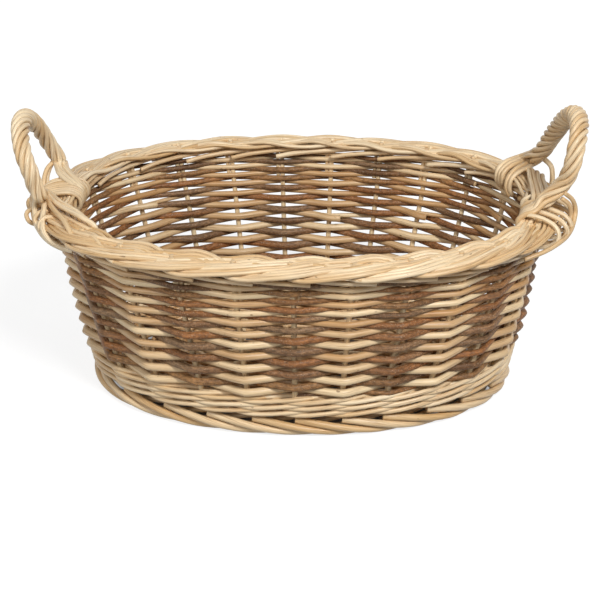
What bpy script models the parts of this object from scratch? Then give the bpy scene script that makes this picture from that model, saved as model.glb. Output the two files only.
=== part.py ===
"""Oval willow basket with chased weaving, a plaited border and two roped ear handles.

Lengths are in metres and +Z is up. The origin is on the floor, under the middle of the foot,
with the long axis along X. Each stake leans outwards in its own upright plane through the
origin, from a floor oval to a wider rim oval, and every rod takes its path from the stakes.
"""

import math

import bmesh
import bpy
import numpy as np
from mathutils import Vector

# Overall form: the line of the stakes, at the floor and at the middle of the border
RIM_LENGTH = 0.394
RIM_WIDTH = 0.274
RIM_HEIGHT = 0.158
FLOOR_LENGTH = 0.336
FLOOR_WIDTH = 0.211
RIM_FULLNESS = 2.28  # power of the oval: 2 is an ellipse, more is squarer
FLOOR_FULLNESS = 2.05
GAP = 0.0003  # between rods that bear on each other

# Stakes
STAKE_COUNT = 24
STAKE_DIAMETER = 0.0048
PEG_DIAMETER = 0.0042  # the stake's tip, which stands up through the plait
PEG_RISE = 0.003  # tip above the middle of the border
BACK_STAGGER_SHARE = -0.5  # of a bay, how far the back stakes are off the front ones

# Foot: four rods rolled into a rope, which carries the stakes
FOOT_RADIUS = 0.0095
FOOT_INSET = 0.0025  # its middle inside the stakes' lower ends
FOOT_FLAT = 0.0006  # worn flat underneath
FOOT_STRANDS = 4
FOOT_STEPS_PER_BAY = 3
FOOT_VALLEY_SHARE = 0.8

# Waling: three rods, each outside two stakes and inside the third
WALE_DIAMETER = 0.0058
WALE_RODS = 3
WALE_SLANT_SHARE = 1.13  # extra height between crossing rods, because they slant there

# Side weave: a buff and a brown strand chase each other, in rods joined end to end
WEAVE_ROWS = 24
RODS_PER_STRAND = 12
ROD_SHARE = 0.86  # rod thickness, of the height of its row
LOW_ROW_SHARE = 1.28  # height of the lowest row, of the mean row
ROW_POWER = 2.8  # how late the rows thin towards the border
TIP_SHARE = 0.35  # thickness left at a strand's first and last tip

# Border: a flat plait of three strands, one crossing to each half bay
PLAIT_DIAMETER = 0.0072
PLAIT_STRANDS = 3
PLAIT_TILT = math.radians(8.0)  # outer side down
PLAIT_EYE = 0.0086  # free width round a stake's tip, between the strands
PLAIT_CROSSING_SHARE = 0.76  # where two strands cross, of the way out to the edge
PLAIT_SLANT_SHARE = 1.24  # extra height at a crossing, because the strands slant there
PLAIT_ACROSS_SHARES = (1.0, 1 / PLAIT_CROSSING_SHARE, 1.0, -1.0, -1 / PLAIT_CROSSING_SHARE, -1.0)
PLAIT_UP_SHARES = (1.0, 0.0, -1.0, 1.0, 0.0, -1.0)

# Base: short sticks pierced by long ones, woven round with two strands
LONG_STICKS = 3
SHORT_STICKS = 6
LONG_STICK_DIAMETER = 0.0052
SHORT_STICK_DIAMETER = 0.0064
LONG_STICK_SPACING = 0.0075
SHORT_STICK_SPACING = 0.034
STICK_SET_BACK = 0.0065  # stick ends inside the line of the stakes
CORE_EDGE = 0.005  # sticks start to fan out this far outside the crossings
FIRST_ROW_LONG_SHARE = 0.3  # of the way out along the fanned ends, where three sticks part
FIRST_ROW_SHORT_SHARE = 0.03
BASE_ROD_DIAMETER = 0.004
BASE_STRANDS = 2
BASE_TURNS = 5

# Handles: four rods twisted over a bow, seated on the border
HANDLE_SPAN = 0.114
HANDLE_RISE = 0.069
HANDLE_LEAN = 0.027
HANDLE_FOOT_OFFSET = 0.006  # foot outside the border's middle
HANDLE_FOOT_LIFT = 0.003  # lowest point over the border's middle, before it is fitted
HANDLE_RADIUS = 0.0068
HANDLE_STRANDS = 4
HANDLE_TURNS = 3
HANDLE_STEPS = 30
HANDLE_FULLNESS = 2.4  # power of the arch, as for the ovals
HANDLE_VALLEY_SHARE = 0.8

# Making of the solids
OVAL_SAMPLES = 1440
WELD_SHARE = 0.1  # of the gap, under which two corners are one
RING_TURN = 2 * math.pi


def clear_scene():
    for thing in list(bpy.data.objects):
        bpy.data.objects.remove(thing, do_unlink=True)


def make_collection(name):
    collection = bpy.data.collections.new(name)
    bpy.context.scene.collection.children.link(collection)
    return collection


def make_material(name, colour, roughness):
    material = bpy.data.materials.new(name)
    material.use_nodes = True
    shader = material.node_tree.nodes["Principled BSDF"]
    shader.inputs["Base Color"].default_value = (*colour, 1.0)
    shader.inputs["Roughness"].default_value = roughness
    shader.inputs["Metallic"].default_value = 0.0
    return material


# Ovals


def oval_radius(length, width, fullness, angle):
    """Distance from the middle to a superellipse, along a ray."""
    across = np.abs(2 * np.cos(angle) / length) ** fullness
    along = np.abs(2 * np.sin(angle) / width) ** fullness
    return (across + along) ** (-1 / fullness)


def wall_radius(angle, height):
    """The wall is ruled: straight stakes from the floor oval to the rim oval."""
    rise = height / RIM_HEIGHT
    low = oval_radius(FLOOR_LENGTH, FLOOR_WIDTH, FLOOR_FULLNESS, angle)
    high = oval_radius(RIM_LENGTH, RIM_WIDTH, RIM_FULLNESS, angle)
    return low + (high - low) * rise


def wall_normal(angle, height):
    """Level unit vector square to the wall's oval, from the radius and its slope."""
    step = RING_TURN / OVAL_SAMPLES
    radius = wall_radius(angle, height)
    slope = (wall_radius(angle + step, height) - wall_radius(angle - step, height)) / (2 * step)
    ray = Vector((math.cos(angle), math.sin(angle), 0))
    side = Vector((-math.sin(angle), math.cos(angle), 0))
    return (ray * radius - side * slope).normalized()


def wall_point(angle, height, outwards=0.0):
    radius = wall_radius(angle, height)
    point = Vector((radius * math.cos(angle), radius * math.sin(angle), height))
    return point + wall_normal(angle, height) * outwards


def spaced_angles(count, height, first_angle, stagger_share=0.0):
    """Angles of points spaced evenly along the wall's oval, with the far side staggered."""
    angles = first_angle + RING_TURN * np.arange(OVAL_SAMPLES + 1) / OVAL_SAMPLES
    radius = wall_radius(angles, height)
    places = np.stack([radius * np.cos(angles), radius * np.sin(angles)], axis=1)
    steps = np.linalg.norm(np.diff(places, axis=0), axis=1)
    travelled = np.concatenate([[0], np.cumsum(steps)]) / steps.sum()
    order = np.arange(count)
    stagger = stagger_share * (1 - np.cos(RING_TURN * order / count)) / 2
    return np.interp((order + stagger) / count, travelled, angles)


STAKE_ANGLES = spaced_angles(STAKE_COUNT, RIM_HEIGHT, -math.pi / 2, BACK_STAGGER_SHARE)


def bay_angle(place):
    """Angle at a place counted in bays from the front stake, which may be between stakes."""
    low = math.floor(place)
    turns, stake = divmod(low, STAKE_COUNT)
    next_turns, next_stake = divmod(low + 1, STAKE_COUNT)
    start = STAKE_ANGLES[stake] + turns * RING_TURN
    end = STAKE_ANGLES[next_stake] + next_turns * RING_TURN
    return start + (end - start) * (place - low)


# Rods, ropes and Booleans


def fill_spline(curve, points, closed, radii=None, tilts=None):
    spline = curve.splines.new("POLY")
    spline.points.add(len(points) - 1)
    for index, (place, point) in enumerate(zip(spline.points, points)):
        place.co = (*point, 1)
        place.radius = radii[index] if radii is not None else 1
        place.tilt = tilts[index] if tilts is not None else 0
    spline.use_cyclic_u = closed


def make_rod(name, points, diameter, material, collection, closed=False, radii=None, resolution=1):
    """A round rod through the points, with filled caps on its ends."""
    curve = bpy.data.curves.new(name, "CURVE")
    curve.dimensions = "3D"
    curve.bevel_depth = diameter / 2
    curve.bevel_resolution = resolution
    curve.use_fill_caps = True
    fill_spline(curve, points, closed, radii)
    rod = bpy.data.objects.new(name, curve)
    rod.data.materials.append(material)
    collection.objects.link(rod)
    return rod


def make_profile(name, points, collection):
    """A closed flat outline that is swept along a path."""
    curve = bpy.data.curves.new(name, "CURVE")
    curve.dimensions = "2D"
    fill_spline(curve, [(x, y, 0) for x, y in points], True)
    profile = bpy.data.objects.new(name, curve)
    mark_as_helper(profile)
    collection.objects.link(profile)
    return profile


def rope_outline(radius, strands, valley_share):
    """The section of a rope: a crest for each strand and a valley beside it."""
    outline = []
    for index in range(2 * strands):
        reach = radius if index % 2 == 0 else radius * valley_share
        angle = math.pi * index / strands
        outline.append((reach * math.cos(angle), reach * math.sin(angle)))
    return outline


def sweep_mesh(name, points, profile, collection, closed, tilts, twist_mode):
    """Sweep a profile along a path as a curve, then turn it into a mesh with welded caps."""
    curve = bpy.data.curves.new(name + "_path", "CURVE")
    curve.dimensions = "3D"
    curve.bevel_mode = "OBJECT"
    curve.bevel_object = profile
    curve.use_fill_caps = True
    curve.twist_mode = twist_mode
    fill_spline(curve, points, closed, tilts=tilts)
    path = bpy.data.objects.new(name + "_path", curve)
    collection.objects.link(path)
    return mesh_from_curve(name, path, collection)


def mesh_from_curve(name, path, collection):
    evaluated = path.evaluated_get(bpy.context.evaluated_depsgraph_get())
    mesh = bpy.data.meshes.new_from_object(evaluated)
    mesh.name = name
    weld = bmesh.new()
    weld.from_mesh(mesh)
    bmesh.ops.remove_doubles(weld, verts=weld.verts, dist=GAP * WELD_SHARE)
    bmesh.ops.recalc_face_normals(weld, faces=weld.faces)
    weld.to_mesh(mesh)
    weld.free()
    solid = bpy.data.objects.new(name, mesh)
    solid.matrix_world = path.matrix_world
    collection.objects.link(solid)
    bpy.data.objects.remove(path, do_unlink=True)
    return solid


def mark_as_helper(thing):
    thing.hide_render = True
    thing.display_type = "WIRE"


def add_boolean(target, tool, operation):
    modifier = target.modifiers.new(operation.lower(), "BOOLEAN")
    modifier.operation = operation
    modifier.solver = "EXACT"
    modifier.object = tool


def set_material(solid, material):
    solid.data.materials.clear()
    solid.data.materials.append(material)


# Levels, from the floor up


def foot_middle():
    return FOOT_RADIUS - FOOT_FLAT


def foot_top():
    return foot_middle() + FOOT_RADIUS


def wale_step():
    """Rise of an outside wale rod to either side of the middle, so that rods cross clear."""
    return (WALE_DIAMETER + GAP) * WALE_SLANT_SHARE


def wale_middle():
    return foot_top() + GAP + WALE_DIAMETER / 2 + wale_step()


def weave_bottom():
    return wale_middle() + wale_step() + WALE_DIAMETER / 2 + GAP


def plait_half_width():
    """Middle of the border to a strand's middle at the edge."""
    return (PLAIT_EYE + PLAIT_DIAMETER) / 2 / PLAIT_CROSSING_SHARE


def plait_half_height():
    """Middle of the border to a strand's middle where it crosses over or under another."""
    return (PLAIT_DIAMETER + GAP) / 2 * PLAIT_SLANT_SHARE


def plait_reach_down():
    """Lowest point of the plait under its middle, on its lower, outer side."""
    crossing = plait_half_width() * PLAIT_CROSSING_SHARE
    sink = plait_half_height() * math.cos(PLAIT_TILT) + crossing * math.sin(PLAIT_TILT)
    return sink + PLAIT_DIAMETER / 2


def weave_top():
    return RIM_HEIGHT - plait_reach_down() - GAP


def row_height(row):
    """Height at a row count: rows are tall at the bottom and thin towards the border."""
    share = row / WEAVE_ROWS
    eased = LOW_ROW_SHARE * share - (LOW_ROW_SHARE - 1) * share**ROW_POWER
    return weave_bottom() + (weave_top() - weave_bottom()) * eased


# Stakes


def stake_lean(angle):
    """Lean of a stake from the upright."""
    return math.atan((wall_radius(angle, RIM_HEIGHT) - wall_radius(angle, 0)) / RIM_HEIGHT)


def make_stakes(material, collection):
    """Straight rods from the foot to the border, with a thinner tip in the plait."""
    neck = weave_top()
    for index, angle in enumerate(STAKE_ANGLES):
        heights = (foot_top() + GAP, neck, RIM_HEIGHT + PEG_RISE)
        points = [wall_point(angle, height) for height in heights]
        radii = (1, PEG_DIAMETER / STAKE_DIAMETER, PEG_DIAMETER / STAKE_DIAMETER)
        name = f"stake_{index + 1:02d}"
        make_rod(name, points, STAKE_DIAMETER, material, collection, radii=radii)


def clear_offset(stake, height, rod_radius, side):
    """How far a rod's kink stands off a stake, so that its two straight runs pass clear."""
    before, here, after = (wall_point(bay_angle(stake + step), height) for step in (-1, 0, 1))
    bay = ((after - here).length + (here - before).length) / 2
    turn = (after - here).angle(here - before)
    lean = stake_lean(bay_angle(stake))
    clearance = (STAKE_DIAMETER / 2 + rod_radius + GAP) / math.cos(lean)
    slope = math.atan(2 * clearance / bay)
    bend = slope + turn / 2 if side > 0 else abs(slope - turn / 2)
    return side * clearance / math.cos(bend)


# Side weave


def strand_point(step, first_stake, outside_parity):
    """Place and thickness of a chased strand at its nth stake.

    The strand climbs two rows a turn. Where its row is cut off by the waling or the border, it
    thins to what is left of the row.
    """
    row = 2 * step / STAKE_COUNT + TIP_SHARE - 0.5
    low = row_height(min(max(row - 0.5, 0), WEAVE_ROWS))
    high = row_height(min(max(row + 0.5, 0), WEAVE_ROWS))
    diameter = (high - low) * ROD_SHARE
    height = (low + high) / 2
    stake = first_stake + step
    side = 1 if step % 2 == outside_parity else -1
    outwards = clear_offset(stake, height, diameter / 2, side)
    return wall_point(bay_angle(stake), height, outwards), diameter


def rod_ends(steps, inside_parity):
    """Steps at which one rod of a strand hands over to the next, each inside a stake."""
    ends = [0]
    for index in range(1, RODS_PER_STRAND):
        place = steps * index / RODS_PER_STRAND
        ends.append(2 * round((place - inside_parity) / 2) + inside_parity)
    return ends + [steps]


def set_back(end, neighbour, diameter):
    """An end moved off the kink, so that the next rod's end has room beside it."""
    return end + (neighbour - end).normalized() * (diameter / 2 + GAP)


def make_strand(label, first_stake, outside_parity, material, collection):
    rows = WEAVE_ROWS + 1 - 2 * TIP_SHARE
    steps = math.floor(rows * STAKE_COUNT / 2)
    ends = rod_ends(steps, 1 - outside_parity)
    for index, (start, stop) in enumerate(zip(ends, ends[1:])):
        places = [strand_point(step, first_stake, outside_parity) for step in range(start, stop + 1)]
        points = [point for point, _ in places]
        widths = [width for _, width in places]
        if start > 0:
            points[0] = set_back(points[0], points[1], widths[0])
        if stop < steps:
            points[-1] = set_back(points[-1], points[-2], widths[-1])
        thickest = max(widths)
        radii = [width / thickest for width in widths]
        name = f"{label}_weaver_{index + 1:02d}"
        make_rod(name, points, thickest, material, collection, radii=radii)


# Waling


def make_waling(material, collection):
    """Three rods in step, each climbing outside two stakes and dropping back inside the third."""
    levels = (0, -wale_step(), wale_step())
    for rod in range(WALE_RODS):
        points = []
        for stake in range(STAKE_COUNT):
            phase = (stake - rod) % WALE_RODS
            height = wale_middle() + levels[phase]
            side = -1 if phase == 0 else 1
            outwards = clear_offset(stake, height, WALE_DIAMETER / 2, side)
            points.append(wall_point(STAKE_ANGLES[stake], height, outwards))
        name = f"wale_rod_{rod + 1}"
        make_rod(name, points, WALE_DIAMETER, material, collection, closed=True)


# Plaited border


def plait_points(strand):
    """The closed line of one strand, which swaps places each half bay, on a base tilted outwards."""
    pattern = len(PLAIT_ACROSS_SHARES)
    points = []
    for half_bay in range(2 * STAKE_COUNT):
        phase = (pattern // PLAIT_STRANDS * strand - half_bay) % pattern
        across = plait_half_width() * PLAIT_CROSSING_SHARE * PLAIT_ACROSS_SHARES[phase]
        up = plait_half_height() * PLAIT_UP_SHARES[phase]
        outwards = across * math.cos(PLAIT_TILT) + up * math.sin(PLAIT_TILT)
        lift = up * math.cos(PLAIT_TILT) - across * math.sin(PLAIT_TILT)
        point = wall_point(bay_angle((half_bay + 1) / 2), RIM_HEIGHT, outwards)
        points.append(point + Vector((0, 0, lift)))
    return points


def make_plait(material, collection):
    for strand in range(PLAIT_STRANDS):
        name = f"border_strand_{strand + 1}"
        points = plait_points(strand)
        make_rod(name, points, PLAIT_DIAMETER, material, collection, closed=True)


def make_seat_cutters(material, helpers):
    """The plait's strands, thicker by the gap all round, and a flat cut that levels the feet."""
    cutters = [make_flat_cutter("seat_level", RIM_HEIGHT + HANDLE_FOOT_LIFT, helpers)]
    for strand in range(PLAIT_STRANDS):
        name = f"seat_cutter_{strand + 1}"
        width = PLAIT_DIAMETER + 2 * GAP
        rod = make_rod(name, plait_points(strand), width, material, helpers, closed=True)
        cutter = mesh_from_curve(name, rod, helpers)
        mark_as_helper(cutter)
        cutters.append(cutter)
    return cutters


# Foot


def make_foot(material, collection, helpers):
    """A rope laid round under the stakes, one strand's crest to each bay, cut flat below."""
    count = STAKE_COUNT * FOOT_STEPS_PER_BAY
    crest_lean = math.asin(FOOT_INSET / FOOT_RADIUS)
    points = []
    tilts = []
    for index in range(count):
        point = wall_point(bay_angle(index / FOOT_STEPS_PER_BAY), foot_top(), -FOOT_INSET)
        point.z = foot_middle()
        points.append(point)
        tilts.append(RING_TURN * STAKE_COUNT / FOOT_STRANDS * index / count + crest_lean)
    outline = rope_outline(FOOT_RADIUS, FOOT_STRANDS, FOOT_VALLEY_SHARE)
    profile = make_profile("foot_section", outline, helpers)
    foot = sweep_mesh("foot_border", points, profile, collection, True, tilts, "Z_UP")
    set_material(foot, material)
    add_boolean(foot, make_flat_cutter("floor_cutter", 0, helpers), "DIFFERENCE")


def make_flat_cutter(name, level, helpers):
    """A block with its top at a level, which cuts flat what reaches below it."""
    bpy.ops.mesh.primitive_cube_add(size=1, location=(0, 0, level - FOOT_RADIUS / 2))
    block = bpy.context.active_object
    block.name = name
    block.scale = (RIM_LENGTH + 2 * HANDLE_LEAN, RIM_WIDTH, FOOT_RADIUS)
    for owner in list(block.users_collection):
        owner.objects.unlink(block)
    helpers.objects.link(block)
    mark_as_helper(block)
    return block


# Base


def stick_middle():
    """Height of the base sticks, which rest on the shoulder of the foot."""
    reach = STICK_SET_BACK - FOOT_INSET
    shoulder = math.sqrt(FOOT_RADIUS**2 - reach**2)
    return foot_middle() + shoulder + GAP + SHORT_STICK_DIAMETER / 2


def base_edge(set_back):
    """Where the sticks run out, spaced evenly round the floor, from the right end on."""
    count = 2 * (LONG_STICKS + SHORT_STICKS)
    angles = spaced_angles(count, stick_middle(), 0.0)
    return [wall_point(angle, stick_middle(), -set_back) for angle in angles]


def long_stick_offset(index):
    return (index - (LONG_STICKS - 1) / 2) * LONG_STICK_SPACING


def short_stick_offset(index):
    return (index - (SHORT_STICKS - 1) / 2) * SHORT_STICK_SPACING


def core_edge():
    """Where the sticks leave the crossings, in the same order as the base's edge."""
    side = long_stick_offset(LONG_STICKS - 1) + LONG_STICK_DIAMETER / 2 + CORE_EDGE
    end = short_stick_offset(SHORT_STICKS - 1) + SHORT_STICK_DIAMETER / 2 + CORE_EDGE
    level = stick_middle()
    middle = LONG_STICKS // 2
    right = [(end, long_stick_offset(index), level) for index in range(middle, LONG_STICKS)]
    back = [(short_stick_offset(index), side, level) for index in reversed(range(SHORT_STICKS))]
    left = [(-end, long_stick_offset(index), level) for index in reversed(range(LONG_STICKS))]
    front = [(short_stick_offset(index), -side, level) for index in range(SHORT_STICKS)]
    rest = [(end, long_stick_offset(index), level) for index in range(middle)]
    return [Vector(place) for place in right + back + left + front + rest]


def stick_pairs():
    """Spokes that are the two ends of one stick, long sticks first."""
    count = 2 * (LONG_STICKS + SHORT_STICKS)
    half = LONG_STICKS // 2
    pairs = [(spoke % count, count // 2 - spoke) for spoke in range(-half, half + 1)]
    pairs += [(spoke, count - spoke) for spoke in range(half + 1, half + 1 + SHORT_STICKS)]
    return pairs


def spoke_radii():
    """Radius of the stick at each spoke."""
    radii = [SHORT_STICK_DIAMETER / 2] * (2 * (LONG_STICKS + SHORT_STICKS))
    for pair in stick_pairs()[:LONG_STICKS]:
        for spoke in pair:
            radii[spoke] = LONG_STICK_DIAMETER / 2
    return radii


def make_base_sticks(material, collection, helpers):
    """Nine sticks crossed through each other, fanned out to the edge, joined as one frame."""
    inner = core_edge()
    outer = base_edge(STICK_SET_BACK)
    radii = spoke_radii()
    frame = None
    for index, (spoke, far_spoke) in enumerate(stick_pairs()):
        points = [outer[spoke], inner[spoke], inner[far_spoke], outer[far_spoke]]
        name = f"base_stick_{index + 1}"
        stick = make_rod(name, points, 2 * radii[spoke], material, helpers)
        solid = mesh_from_curve(name, stick, helpers if frame else collection)
        if frame is None:
            frame = solid
            continue
        mark_as_helper(solid)
        add_boolean(frame, solid, "UNION")
    frame.name = "base_sticks"
    set_material(frame, material)


def base_lift(stick_radius, spacing):
    """How far a base weaver passes over or under a stick, so that its slant clears it."""
    clearance = stick_radius + BASE_ROD_DIAMETER / 2 + GAP
    return clearance / math.cos(math.atan(2 * clearance / (spacing - clearance)))


def last_row_set_back():
    """The outermost row inside the line of the stakes, clear of the foot's shoulder."""
    drop = SHORT_STICK_DIAMETER / 2 + BASE_ROD_DIAMETER / 2 + GAP
    above = stick_middle() - drop - foot_middle()
    reach = FOOT_RADIUS + BASE_ROD_DIAMETER / 2 + GAP
    return FOOT_INSET + math.sqrt(reach**2 - min(above, reach) ** 2) + BASE_ROD_DIAMETER / 2


def row_places(spokes, share):
    """The row's place on each spoke, from the first row at 0 to the last at 1."""
    places = []
    for start, end in spokes:
        places.append(start.lerp(end, share))
    return places


def make_base_weavers(material, collection):
    """Two strands spiral out over and under the sticks, each over where the other is under."""
    radii = spoke_radii()
    long_radius = LONG_STICK_DIAMETER / 2
    starts = []
    for place, edge, radius in zip(core_edge(), base_edge(STICK_SET_BACK), radii):
        share = FIRST_ROW_LONG_SHARE if radius == long_radius else FIRST_ROW_SHORT_SHARE
        starts.append(place.lerp(edge, share))
    spokes = list(zip(starts, base_edge(last_row_set_back())))
    count = len(spokes)
    steps = BASE_TURNS * count
    for strand in range(BASE_STRANDS):
        points = []
        for step in range(steps + 1):
            spoke = (step + strand * count // BASE_STRANDS) % count
            places = row_places(spokes, step / steps)
            before = (places[spoke] - places[spoke - 1]).length
            after = (places[spoke] - places[(spoke + 1) % count]).length
            side = 1 if step % 2 == 0 else -1
            lift = side * base_lift(radii[spoke], min(before, after))
            points.append(places[spoke] + Vector((0, 0, lift)))
        name = f"base_weaver_{strand + 1}"
        make_rod(name, points, BASE_ROD_DIAMETER, material, collection, resolution=0)


# Handles


def handle_foot():
    """Distance out along X of the handle's feet, from where the border passes them."""
    angles = np.linspace(0, math.pi / 2, OVAL_SAMPLES)
    radius = wall_radius(angles, RIM_HEIGHT)
    across = radius * np.sin(angles)
    along = radius * np.cos(angles)
    return float(np.interp(HANDLE_SPAN / 2, across, along)) + HANDLE_FOOT_OFFSET


def handle_points(side):
    """An upright arch, squarer than an ellipse, that curves outwards as it rises."""
    points = []
    for step in range(HANDLE_STEPS + 1):
        angle = math.pi * step / HANDLE_STEPS
        reach = abs(math.cos(angle)) ** (2 / HANDLE_FULLNESS)
        rise = abs(math.sin(angle)) ** (2 / HANDLE_FULLNESS)
        across = math.copysign(reach, math.cos(angle)) * HANDLE_SPAN / 2
        out = handle_foot() + HANDLE_LEAN * (1 - (1 - rise) ** 2)
        height = RIM_HEIGHT + HANDLE_FOOT_LIFT + HANDLE_RISE * rise
        points.append((side * out, across, height))
    return points


def make_handle(name, side, seat_cutters, material, collection, helpers):
    """A rope swept along the arch, its feet hollowed to sit over the border's strands."""
    outline = rope_outline(HANDLE_RADIUS, HANDLE_STRANDS, HANDLE_VALLEY_SHARE)
    profile = make_profile(name + "_section", outline, helpers)
    points = handle_points(side)
    tilts = [RING_TURN * HANDLE_TURNS * step / HANDLE_STEPS for step in range(HANDLE_STEPS + 1)]
    handle = sweep_mesh(name, points, profile, collection, False, tilts, "MINIMUM")
    set_material(handle, material)
    for cutter in seat_cutters:
        add_boolean(handle, cutter, "DIFFERENCE")


def build_basket():
    clear_scene()
    basket = make_collection("willow_basket")
    helpers = make_collection("helpers")
    buff = make_material("buff_willow", (0.58, 0.38, 0.17), 0.5)
    brown = make_material("brown_willow", (0.16, 0.09, 0.05), 0.6)
    pale = make_material("pale_willow", (0.68, 0.49, 0.25), 0.45)
    make_stakes(buff, basket)
    make_foot(pale, basket, helpers)
    make_waling(pale, basket)
    make_strand("brown", 0, 0, brown, basket)
    make_strand("buff", STAKE_COUNT // 2, 1, buff, basket)
    make_plait(pale, basket)
    make_base_sticks(buff, basket, helpers)
    make_base_weavers(buff, basket)
    seat_cutters = make_seat_cutters(pale, helpers)
    make_handle("handle_left", -1, seat_cutters, pale, basket, helpers)
    make_handle("handle_right", 1, seat_cutters, pale, basket, helpers)
    helpers.hide_render = True


build_basket()
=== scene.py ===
"""Dresses the frame of an oval willow basket with its single rods.

The frame gives the stakes, and everything else is laid out from them in two numbers: a place,
counted in bays round the wall from the front stake, and a height. Every rod is a round section
carried along a line, worked out as one grid of points.
"""

import math

import bpy
import numpy as np
from mathutils import Matrix, Vector


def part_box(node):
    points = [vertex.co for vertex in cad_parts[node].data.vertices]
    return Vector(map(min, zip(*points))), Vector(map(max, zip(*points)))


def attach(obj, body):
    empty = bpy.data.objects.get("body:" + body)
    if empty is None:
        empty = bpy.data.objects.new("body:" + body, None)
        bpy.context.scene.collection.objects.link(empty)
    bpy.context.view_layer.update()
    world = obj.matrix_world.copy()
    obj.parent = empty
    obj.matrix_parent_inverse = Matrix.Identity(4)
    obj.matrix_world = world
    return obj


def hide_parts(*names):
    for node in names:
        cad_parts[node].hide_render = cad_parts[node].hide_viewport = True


bl_info = {
    "name": "Willow Basket",
    "version": (1, 0, 0),
    "blender": (4, 5, 0),
    "location": "3D View > Sidebar > Willow",
    "description": "Lays the rods of an oval willow basket round its stakes",
    "category": "Add Mesh",
}

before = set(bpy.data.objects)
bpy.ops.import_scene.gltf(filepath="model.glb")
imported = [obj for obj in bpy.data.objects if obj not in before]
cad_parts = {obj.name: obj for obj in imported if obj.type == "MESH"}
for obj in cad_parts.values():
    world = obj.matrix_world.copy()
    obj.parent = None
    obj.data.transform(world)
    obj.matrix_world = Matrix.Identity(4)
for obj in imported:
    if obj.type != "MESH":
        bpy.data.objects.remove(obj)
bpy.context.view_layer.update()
MM = 0.001
BODY = "root"
UP = (0.0, 0.0, 1.0)


def nodes_named(start):
    """The frame's nodes whose names start with a word, in order."""
    return sorted(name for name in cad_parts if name.startswith(start))


STAKE_NODES = nodes_named("stake_")
BUFF_NODES = nodes_named("buff_weaver_")
BROWN_NODES = nodes_named("brown_weaver_")
WALE_NODES = nodes_named("wale_rod_")
PLAIT_NODES = nodes_named("border_strand_")
STAKES = len(STAKE_NODES)

# Stakes and side weave, as the frame has them
STAKE_DIAMETER = 4.8 * MM
RIM_LEVEL = 158 * MM
WEAVE_ROWS = 24
LOW_ROW_SHARE = 1.28  # height of the lowest row, of the mean row
ROW_POWER = 2.8  # how late the rows thin towards the border
TIP_SHARE = 0.35  # height left to a strand's first and last tip, of a row

# Border
PLAIT_PERIOD = 4  # bays that a strand needs to come back to its edge
PLAIT_LEAN = 0.45  # how much quicker a strand goes outwards than inwards
CROSS_LEAN = 0.35  # how much nearer the inner edge than the middle the strands cross
PLAIT_SHIFT = 0.55  # bays from a stake to the place where a strand turns at the outer edge
OUT_TURN = 1.509  # bays from the inner edge to the outer edge, with that lean
BORDER_TILT = math.radians(8.0)

# Rods under the border, cut off inside and outside: bays, across and up in millimetres
INSIDE_END = ((0, -1, -3), (0.6, -6, -5), (1.2, -9, -6.8), (1.7, -10.5, -9), (2.0, -10.5, -11.5))
OUTSIDE_END = ((0, 1, -3), (0.6, 5, -5), (1.2, 7.5, -7), (1.9, 7, -9.5))

# Handles: middle line of each bow from its front foot, in millimetres
BOWS = {
    "left": (
        (-197, -37, 160), (-204, -40, 172), (-208.2, -42, 183.2), (-211, -43, 195.3),
        (-215.2, -40, 205.8), (-218.5, -33, 213.8), (-220.8, -23.5, 219.7), (-222.6, -10, 224),
        (-222, 5, 223.4), (-217.9, 21, 212.2), (-214.4, 31, 199.6), (-211.6, 37, 189.4),
        (-207.6, 42.5, 178.1), (-202.9, 46, 167.3), (-197, 47, 160),
    ),
    "right": (
        (177, -37, 160), (187.5, -34, 168), (199, -32, 178), (208.5, -32, 189.2),
        (212.7, -35, 203.8), (215.5, -31, 216.9), (218.5, -19, 225.5), (219.8, -3, 228.7),
        (218.4, 15, 227.8), (214, 29.5, 219.3), (209.3, 41, 206.7), (206.1, 48, 197.5),
        (201.7, 54.5, 185.2), (195, 62, 174.1), (186, 68, 166),
    ),
}
# Slope of the rods along each bow, in degrees from its line
TWISTS = {"left": (15, 24, 30, 42, 34, 22, 18), "right": (15, 25, 32, 43, 43, 40, 25)}
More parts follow.
